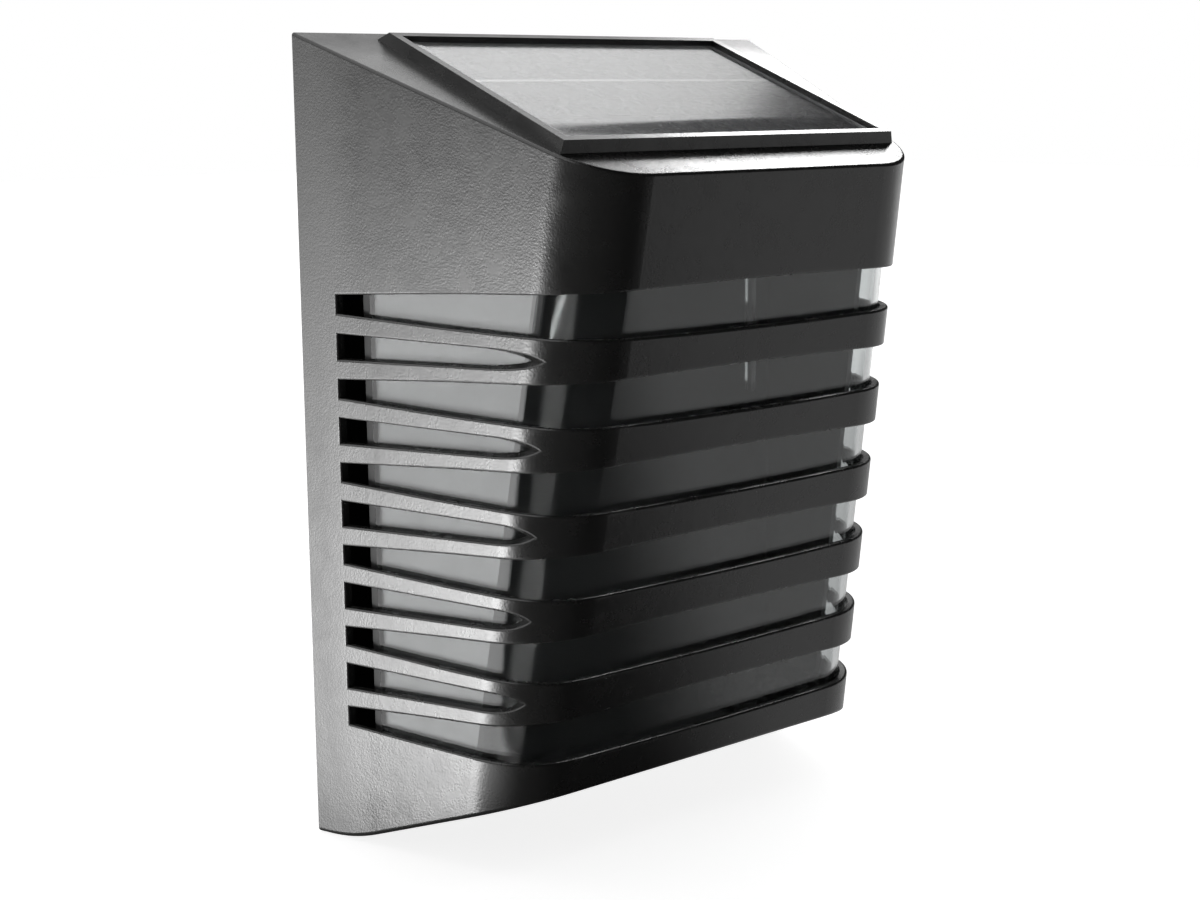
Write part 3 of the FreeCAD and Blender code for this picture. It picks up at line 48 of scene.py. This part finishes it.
class Shade:
    """A node material with one Principled shader, and short ways to feed it."""

    def __init__(self, name, **sockets):
        self.material = bpy.data.materials.new(name)
        self.material.use_nodes = True
        self.tree = self.material.node_tree
        self.shader = self.tree.nodes["Principled BSDF"]
        self.output = self.tree.nodes["Material Output"]
        for socket, value in sockets.items():
            self.shader.inputs[socket.replace("_", " ")].default_value = value
        self.place = self.node("ShaderNodeTexCoord").outputs["Object"]

    def node(self, kind, **fields):
        """A new node with its properties set."""
        made = self.tree.nodes.new(kind)
        for field, value in fields.items():
            setattr(made, field, value)
        return made

    def link(self, source, target):
        self.tree.links.new(source, target)

    def noise(self, size, detail=3.0, stretch=None, roughness=0.55):
        """Noise from 0 to 1 whose lumps are about size metres across."""
        place = self.place
        if stretch is not None:
            mapping = self.node("ShaderNodeMapping")
            mapping.inputs["Scale"].default_value = stretch
            self.link(place, mapping.inputs["Vector"])
            place = mapping.outputs["Vector"]
        texture = self.node("ShaderNodeTexNoise")
        texture.inputs["Scale"].default_value = 1.0 / size
        texture.inputs["Detail"].default_value = detail
        texture.inputs["Roughness"].default_value = roughness
        self.link(place, texture.inputs["Vector"])
        return texture.outputs["Fac"]

    def span(self, source, low, high, start=0.3, end=0.7):
        """A value taken from one range to another."""
        ranged = self.node("ShaderNodeMapRange")
        for socket, value in (("From Min", start), ("From Max", end),
                              ("To Min", low), ("To Max", high)):
            ranged.inputs[socket].default_value = value
        self.link(source, ranged.inputs["Value"])
        return ranged.outputs["Result"]

    def ramp(self, source, low, high):
        """A smooth rise from 0 to 1 between two values of a source."""
        ranged = self.node("ShaderNodeMapRange", interpolation_type="SMOOTHSTEP")
        ranged.inputs["From Min"].default_value = low
        ranged.inputs["From Max"].default_value = high
        self.link(source, ranged.inputs["Value"])
        return ranged.outputs["Result"]

    def axis(self, letter):
        """A place's X, Y or Z in the object's own frame."""
        parts = self.node("ShaderNodeSeparateXYZ")
        self.link(self.place, parts.inputs["Vector"])
        return parts.outputs[letter]

    def combined(self, first, second, operation="MULTIPLY"):
        """The product of two values, or what another operation makes of them."""
        result = self.node("ShaderNodeMath", operation=operation)
        self.link(first, result.inputs[0])
        self.link(second, result.inputs[1])
        return result.outputs["Value"]

    def between(self, factor, first, second):
        """A colour between two, each a colour or a socket."""
        mixer = self.node("ShaderNodeMix", data_type="RGBA")
        self.link(factor, mixer.inputs["Factor"])
        for index, colour in ((COLOUR_A, first), (COLOUR_B, second)):
            socket = mixer.inputs[index]
            if isinstance(colour, tuple):
                socket.default_value = colour + (1.0,)
            else:
                self.link(colour, socket)
        return mixer.outputs[COLOUR_RESULT]

    def colour(self, socket):
        self.link(socket, self.shader.inputs["Base Color"])

    def gloss(self, socket):
        self.link(socket, self.shader.inputs["Roughness"])

    def bump(self, height, depth, strength=1.0, after=None):
        """Bumps of a height socket, depth metres tall."""
        bumps = self.node("ShaderNodeBump")
        bumps.inputs["Strength"].default_value = strength
        bumps.inputs["Distance"].default_value = depth
        self.link(height, bumps.inputs["Height"])
        if after is not None:
            self.link(after, bumps.inputs["Normal"])
        self.link(bumps.outputs["Normal"], self.shader.inputs["Normal"])
        return bumps.outputs["Normal"]

    def pass_light(self, tint):
        """Let lamp light straight through, as clear plastic does."""
        clear = self.node("ShaderNodeBsdfTransparent")
        clear.inputs["Color"].default_value = tint + (1.0,)
        rays = self.node("ShaderNodeLightPath")
        mixer = self.node("ShaderNodeMixShader")
        self.link(rays.outputs["Is Shadow Ray"], mixer.inputs["Fac"])
        self.link(self.shader.outputs["BSDF"], mixer.inputs[1])
        self.link(clear.outputs["BSDF"], mixer.inputs[2])
        self.link(mixer.outputs["Shader"], self.output.inputs["Surface"])


def moulded(name, tone, roughness, grain=0.00035, depth=0.00004, spread=0.25, **sockets):
    """Moulded plastic: an even grain, a slow drift of tone and a slightly patchy gloss."""
    shade = Shade(name, **sockets)
    drift = shade.noise(0.018, detail=4.0)
    darker = tuple(c * (1.0 - spread) for c in tone)
    lighter = tuple(c * (1.0 + spread) for c in tone)
    shade.colour(shade.between(drift, darker, lighter))
    shade.gloss(shade.span(shade.noise(0.006, detail=5.0), roughness - 0.03, roughness + 0.04))
    shade.bump(shade.noise(grain, detail=2.0), depth, 0.6)
    return shade.material


def metal(name, tone, roughness, brushed=(1.0, 1.0, 1.0)):
    """Bright metal with fine stretched scratches and small dull patches."""
    shade = Shade(name, Metallic=1.0)
    scratches = shade.noise(0.0012, detail=5.0, stretch=brushed)
    shade.colour(shade.between(scratches, tuple(c * 0.8 for c in tone), tone))
    shade.gloss(shade.span(scratches, roughness - 0.06, roughness + 0.08))
    shade.bump(scratches, 0.00001, 0.4)
    return shade.material


# ---------------------------------------------------------------- finishes

def housing_finish():
    """Black spark-textured plastic: a fine grain that glitters under grazing light."""
    shade = Shade("housing_plastic", Specular_IOR_Level=0.6)
    drift = shade.noise(0.02, detail=4.0)
    shade.colour(shade.between(drift, (0.013, 0.013, 0.013), (0.020, 0.0198, 0.019)))
    patches = shade.noise(0.005, detail=6.0, roughness=0.65)
    # the last centimetre towards the wall is duller
    duller = shade.span(shade.axis("Y"), 0.0, 0.14, start=-0.014, end=-0.004)
    shade.gloss(shade.combined(shade.span(patches, 0.22, 0.30), duller, "ADD"))
    lumps = shade.bump(shade.noise(0.0022, detail=1.0), 0.00004, 0.3)
    shade.bump(shade.noise(0.0004, detail=1.0), 0.00004, 0.6, after=lumps)
    return shade.material


def clear_finish(name, tint, roughness, wave=0.00008):
    """Clear moulded plastic with a polish that varies a little and faint flow marks."""
    shade = Shade(name, Transmission_Weight=1.0, IOR=1.49)
    flow = shade.noise(0.012, detail=3.0, stretch=(1.0, 1.0, 0.35))
    shade.colour(shade.between(flow, tuple(c * 0.96 for c in tint), tint))
    shade.gloss(shade.span(flow, roughness, roughness + 0.04))
    shade.bump(shade.noise(0.02, detail=2.0), wave, 0.3)
    shade.pass_light(tint)
    return shade.material


def resin_finish():
    """Clear resin poured over the cells: it curves down to the frame at its edges."""
    shade = Shade("panel_resin", Transmission_Weight=1.0, IOR=1.49)
    front = shade.ramp(shade.axis("Y"), -0.0525, -0.0445)
    left = shade.ramp(shade.axis("X"), -0.0397, -0.0360)
    right = shade.ramp(shade.axis("X"), 0.0397, 0.0370)
    height = shade.combined(shade.combined(front, left), right)
    speck = shade.noise(0.0008, detail=3.0)
    shade.gloss(shade.span(speck, 0.10, 0.16))
    shade.colour(shade.between(speck, (0.86, 0.87, 0.88), (0.9, 0.9, 0.9)))
    dome = shade.bump(height, 0.0005)
    shade.bump(shade.noise(0.009, detail=2.0), 0.00003, 0.3, after=dome)
    shade.pass_light((0.88, 0.88, 0.88))
    return shade.material


FINGER_PITCH = 0.0018


def cell_finish():
    """Dark silicon with thin printed fingers across each row."""
    shade = Shade("cell_silicon", IOR=1.6)
    blotch = shade.noise(0.003, detail=4.0)
    silicon = shade.between(blotch, (0.012, 0.013, 0.018), (0.024, 0.025, 0.032))
    wave = shade.node("ShaderNodeMath", operation="PINGPONG")
    wave.inputs[1].default_value = FINGER_PITCH / 2
    shade.link(shade.axis("X"), wave.inputs[0])
    finger = shade.span(wave.outputs["Value"], 1.0, 0.0, start=0.00004, end=0.00009)
    shade.colour(shade.between(finger, silicon, (0.16, 0.16, 0.165)))
    shade.gloss(shade.span(blotch, 0.22, 0.34))
    shade.bump(finger, 0.00002, 0.5)
    return shade.material


TRACK_SPACING = 1.0 / 300.0


def board_finish():
    """Green solder mask with copper tracks that show through it."""
    shade = Shade("board_laminate", Roughness=0.3, Coat_Weight=0.4, Coat_Roughness=0.15)
    cells = shade.node("ShaderNodeTexVoronoi", distance="CHEBYCHEV", feature="DISTANCE_TO_EDGE")
    cells.inputs["Scale"].default_value = 1.0 / TRACK_SPACING
    shade.link(shade.place, cells.inputs["Vector"])
    track = shade.span(cells.outputs["Distance"], 1.0, 0.0, start=0.03, end=0.07)
    shade.colour(shade.between(track, (0.012, 0.10, 0.035), (0.04, 0.22, 0.08)))
    shade.bump(track, 0.00004, 0.5)
    return shade.material


def lamp_finish():
    """Clear epoxy over a yellow phosphor."""
    shade = Shade("lamp_resin", Roughness=0.12, IOR=1.54, Transmission_Weight=0.6)
    flow = shade.noise(0.002, detail=2.0)
    shade.colour(shade.between(flow, (0.75, 0.70, 0.42), (0.88, 0.86, 0.70)))
    shade.pass_light((0.8, 0.8, 0.7))
    return shade.material


FINISHES = {
    "housing_plastic": housing_finish(),
    "cover_plastic": moulded("cover_plastic", (0.016, 0.016, 0.016), 0.48),
    "clear_plastic": clear_finish("clear_plastic", (0.80, 0.82, 0.82), 0.03),
    "backing_plastic": moulded("backing_plastic", (0.012, 0.012, 0.012), 0.5),
    "cell_wrap": moulded("cell_wrap", (0.03, 0.16, 0.08), 0.3, grain=0.0012, depth=0.00001),
    "plated_steel": metal("plated_steel", (0.72, 0.71, 0.68), 0.28, (1.0, 0.2, 1.0)),
    "screw_steel": metal("screw_steel", (0.62, 0.62, 0.62), 0.32),
    "switch_plastic": moulded("switch_plastic", (0.02, 0.02, 0.021), 0.42),
    "lug_brass": metal("lug_brass", (0.72, 0.62, 0.38), 0.3),
    "knob_plastic": moulded("knob_plastic", (0.62, 0.62, 0.60), 0.4, spread=0.05),
    "board_laminate": board_finish(),
    "chip_plastic": moulded("chip_plastic", (0.02, 0.02, 0.02), 0.55, grain=0.0002),
    "coil_body": moulded("coil_body", (0.05, 0.22, 0.2), 0.25, grain=0.0015, depth=0.00001),
    "lamp_resin": lamp_finish(),
    "panel_laminate": moulded("panel_laminate", (0.60, 0.61, 0.61), 0.5, spread=0.05),
    "cell_silicon": cell_finish(),
    "ribbon_metal": metal("ribbon_metal", (0.85, 0.85, 0.85), 0.35, (0.1, 1.0, 1.0)),
    "panel_resin": resin_finish(),
    "adhesive": moulded("adhesive", (0.45, 0.45, 0.43), 0.6, grain=0.001),
    "wire_red": moulded("wire_red", (0.35, 0.012, 0.012), 0.42, grain=0.0006),
    "wire_black": moulded("wire_black", (0.015, 0.015, 0.015), 0.42, grain=0.0006),
    "wire_white": moulded("wire_white", (0.6, 0.6, 0.57), 0.42, grain=0.0006, spread=0.06),
}

for part in frame["record"]["subparts"]:
    node = NODES[part["node"]]
    finish = FINISHES[part["material_slot"]]
    if not node.material_slots:
        node.data.materials.append(finish)
    for place in node.material_slots:
        place.material = finish


# ---------------------------------------------------------------- floor, world and lights

FLOOR_HALF = 3.0
FLOOR_WHITE = 0.85              # the floor's own glow for the camera, beside what the lamps give it
WHITE = (1.0, 1.0, 1.0, 1.0)
DIM = 0.03                      # the unlit side of the studio, as gloss and glass see it
# What gloss and glass see is made of glows. Each has a strength and one or more bounds: a
# direction, and the distances along it where the glow starts and is full.
BEHIND = (0.66, 0.75, 0.0)      # away from the camera
# The floor's glows are painted light that only gloss and glass see: a painted lit floor whose edge
# is a painted shadow of the lamp, white further off, and a painted bright patch at the left.
FLOOR_PAINTED_GLOWS = (
    (0.6, ((0.82, 0.57, 0.0), -0.035, 0.005)),          # lit floor beside and beyond the lamp
    (1.0, (BEHIND, 0.10, 0.60)),                        # white further off
    (2.7, ((0.28, 0.96, 0.0), -0.088, -0.074),          # bright floor at the left
          ((-1.0, 0.0, 0.0), 0.06, 0.10)),
)
WORLD_GLOW = (1.0, (BEHIND, -0.2, 0.55))
# a pale sky that starts well above the horizon and ends at one side
SKY_GLOW = (1.6, ((0.0, 0.0, 1.0), 0.34, 0.45), ((-0.578, 0.816, 0.0), 0.000, 0.012))


def glow(tree, place, strength, *bounds):
    """A value from DIM to a strength, full where a place is well inside every bound."""
    values = []
    for direction, dark, full in bounds:
        distance = tree.nodes.new("ShaderNodeVectorMath")
        distance.operation = "DOT_PRODUCT"
        distance.inputs[1].default_value = direction
        tree.links.new(place, distance.inputs[0])
        ranged = tree.nodes.new("ShaderNodeMapRange")
        ranged.interpolation_type = "SMOOTHSTEP"
        for socket, value in (("From Min", dark), ("From Max", full),
                              ("To Min", DIM), ("To Max", strength)):
            ranged.inputs[socket].default_value = value
        tree.links.new(distance.outputs["Value"], ranged.inputs["Value"])
        values.append(ranged.outputs["Result"])
    return extreme(tree, values, "MINIMUM")


def extreme(tree, values, operation="MAXIMUM"):
    """The largest or the smallest of several values."""
    so_far = values[0]
    for value in values[1:]:
        compared = tree.nodes.new("ShaderNodeMath")
        compared.operation = operation
        tree.links.new(so_far, compared.inputs[0])
        tree.links.new(value, compared.inputs[1])
        so_far = compared.outputs["Value"]
    return so_far


def mixed_by(tree, factors, others, named):
    """One shader for the rays that any of the factors names, and another for all the rest."""
    mixer = tree.nodes.new("ShaderNodeMixShader")
    tree.links.new(extreme(tree, factors), mixer.inputs["Fac"])
    tree.links.new(others, mixer.inputs[1])
    tree.links.new(named, mixer.inputs[2])
    return mixer.outputs["Shader"]


def add_floor():
    """A plain pale floor that keeps the object's shadow."""
    bpy.ops.mesh.primitive_plane_add(size=2 * FLOOR_HALF, location=(0, 0, CAD_BOX[0][2]))
    floor = bpy.context.object
    floor.name = "floor"
    shade = Shade("floor", Roughness=0.9)
    tree = shade.tree
    shade.colour(shade.between(shade.noise(0.05), (0.78, 0.78, 0.78), (0.82, 0.82, 0.82)))
    white = shade.node("ShaderNodeEmission")
    white.inputs["Strength"].default_value = FLOOR_WHITE
    lit = shade.node("ShaderNodeAddShader")
    shade.link(white.outputs["Emission"], lit.inputs[0])
    shade.link(shade.shader.outputs["BSDF"], lit.inputs[1])
    # painted light on the floor, with a painted shadow of the lamp, which only gloss and glass see
    painted_floor_light = shade.node("ShaderNodeEmission")
    painted_glows = [glow(tree, shade.place, *values) for values in FLOOR_PAINTED_GLOWS]
    shade.link(extreme(tree, painted_glows), painted_floor_light.inputs["Strength"])
    rays = shade.node("ShaderNodeLightPath")
    indirect = mixed_by(tree, [rays.outputs["Is Glossy Ray"], rays.outputs["Is Transmission Ray"]],
                        shade.shader.outputs["BSDF"], painted_floor_light.outputs["Emission"])
    surface = mixed_by(tree, [rays.outputs["Is Camera Ray"]], indirect, lit.outputs["Shader"])
    shade.link(surface, shade.output.inputs["Surface"])
    floor.data.materials.append(shade.material)


def add_world():
    """A studio that is lit behind the lamp, a sky for gloss, and plain white for the camera."""
    world = bpy.data.worlds.new("studio")
    bpy.context.scene.world = world
    world.use_nodes = True
    tree = world.node_tree
    direction = tree.nodes.new("ShaderNodeTexCoord").outputs["Generated"]
    studio = tree.nodes["Background"]
    sky = tree.nodes.new("ShaderNodeBackground")
    white = tree.nodes.new("ShaderNodeBackground")
    for background in (studio, sky, white):
        background.inputs["Color"].default_value = WHITE
    for background, values in ((studio, WORLD_GLOW), (sky, SKY_GLOW)):
        tree.links.new(glow(tree, direction, *values), background.inputs["Strength"])
    rays = tree.nodes.new("ShaderNodeLightPath")
    indirect = mixed_by(tree, [rays.outputs["Is Glossy Ray"]], studio.outputs["Background"],
                        sky.outputs["Background"])
    surface = mixed_by(tree, [rays.outputs["Is Camera Ray"]], indirect,
                       white.outputs["Background"])
    tree.links.new(surface, tree.nodes["World Output"].inputs["Surface"])


def add_softbox(name, place, aim, size, power, lit_nodes):
    """A rectangular lamp that the camera doesn't see, for some pieces or, with None, for all."""
    data = bpy.data.lights.new(name, "AREA")
    data.shape = "RECTANGLE"
    data.size, data.size_y = size
    data.energy = power
    lamp = bpy.data.objects.new(name, data)
    bpy.context.collection.objects.link(lamp)
    lamp.location = place
    lamp.rotation_euler = (Vector(aim) - Vector(place)).to_track_quat("-Z", "Y").to_euler()
    lamp.visible_camera = False
    if lit_nodes is not None:
        lit = bpy.data.collections.new(name + "_lit")
        for node in lit_nodes:
            lit.objects.link(node)
        lamp.light_linking.receiver_collection = lit
        lamp.light_linking.blocker_collection = lit


HOUSING = [NODES["housing"]]
LENS = [NODES["lens"]]
TEXTURED = [node for name, node in NODES.items() if name not in ("lens", "solar_cover")]
# name, place, the point it faces, width and height, power in watts, pieces it lights
SOFTBOXES = (
    ("left_softbox", (-0.55, 0.22, 0.08), (-0.05, -0.03, 0.0), (0.45, 0.30), 0.3, None),
    ("left_low", (-0.982, 0.205, -0.279), (-0.05, -0.03, -0.02), (0.18, 0.25), 9.5,
     TEXTURED),
    ("roof_softbox", (0.334, 0.153, 0.273), (0.0, -0.055, 0.055), (0.10, 0.10), 0.3, HOUSING),
    ("corner_softbox", (-0.53, -0.34, -0.205), (-0.05, -0.055, 0.0), (0.34, 0.30), 5.0, LENS),
)

add_floor()
add_world()
for softbox in SOFTBOXES:
    add_softbox(*softbox)


# ---------------------------------------------------------------- camera

CAMERA_PLACE = Vector((-0.26075, -0.31342, 0.06353))
CAMERA_TURN = math.radians(41.261)      # to the right of straight ahead
CAMERA_DIP = math.radians(9.963)
CAMERA_ROLL = math.radians(-0.489)
FOCAL_LENGTH = 60.45                    # millimetres, as the sensor's width is
SENSOR_WIDTH = 36.0
NEAREST = 0.01


def add_camera():
    """The camera at the photograph's place, looking down at the lamp from its left front."""
    data = bpy.data.cameras.new("camera")
    data.lens = FOCAL_LENGTH
    data.sensor_width = SENSOR_WIDTH
    data.clip_start = NEAREST
    camera = bpy.data.objects.new("camera", data)
    bpy.context.collection.objects.link(camera)
    ahead = Vector((math.sin(CAMERA_TURN) * math.cos(CAMERA_DIP),
                    math.cos(CAMERA_TURN) * math.cos(CAMERA_DIP), -math.sin(CAMERA_DIP)))
    right = Vector((math.cos(CAMERA_TURN), -math.sin(CAMERA_TURN), 0.0))
    up = right.cross(ahead)
    turned_right = math.cos(CAMERA_ROLL) * right + math.sin(CAMERA_ROLL) * up
    turned_up = math.cos(CAMERA_ROLL) * up - math.sin(CAMERA_ROLL) * right
    turn = Matrix((turned_right, turned_up, -ahead)).transposed()
    camera.matrix_world = Matrix.Translation(CAMERA_PLACE) @ turn.to_4x4()
    bpy.context.scene.camera = camera


add_camera()
bpy.context.scene.view_settings.view_transform = "Standard"
